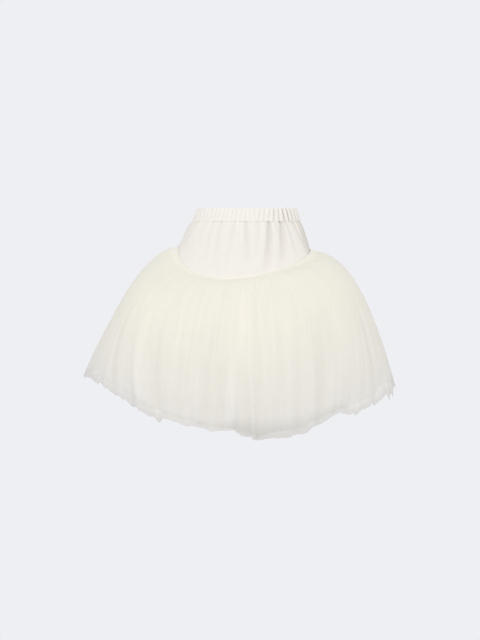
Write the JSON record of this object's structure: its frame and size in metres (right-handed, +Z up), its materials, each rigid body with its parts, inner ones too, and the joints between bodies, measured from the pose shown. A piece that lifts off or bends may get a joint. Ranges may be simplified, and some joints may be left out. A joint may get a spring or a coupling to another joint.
{
  "type": "tulle skirt",
  "caption": "Short full tulle skirt with an elastic gathered waistband, a fitted cotton yoke that dips at front and back, and three gathered tulle layers with raw uneven hems.",
  "frame": {"origin": "middle of the waist opening, half way up the elastic waistband, where the wearer holds the skirt", "axes": "+Z up, +X to the right seen from the front, and the front faces -Y"},
  "size_m": [0.7792, 0.5883, 0.5335],
  "materials": {
    "cotton": "matt ivory woven cotton, gathered on an elastic at the waist",
    "tulle": "soft cream tulle net, sheer in one layer, raw cut hem"
  },
  "bodies": {
    "root": {"waistband": "cotton", "yoke_front": "cotton", "yoke_back": "cotton", "tulle_outer_front": "tulle", "tulle_outer_back": "tulle", "tulle_middle_front": "tulle", "tulle_middle_back": "tulle", "tulle_inner_front": "tulle", "tulle_inner_back": "tulle"}
  },
  "joints": []
}
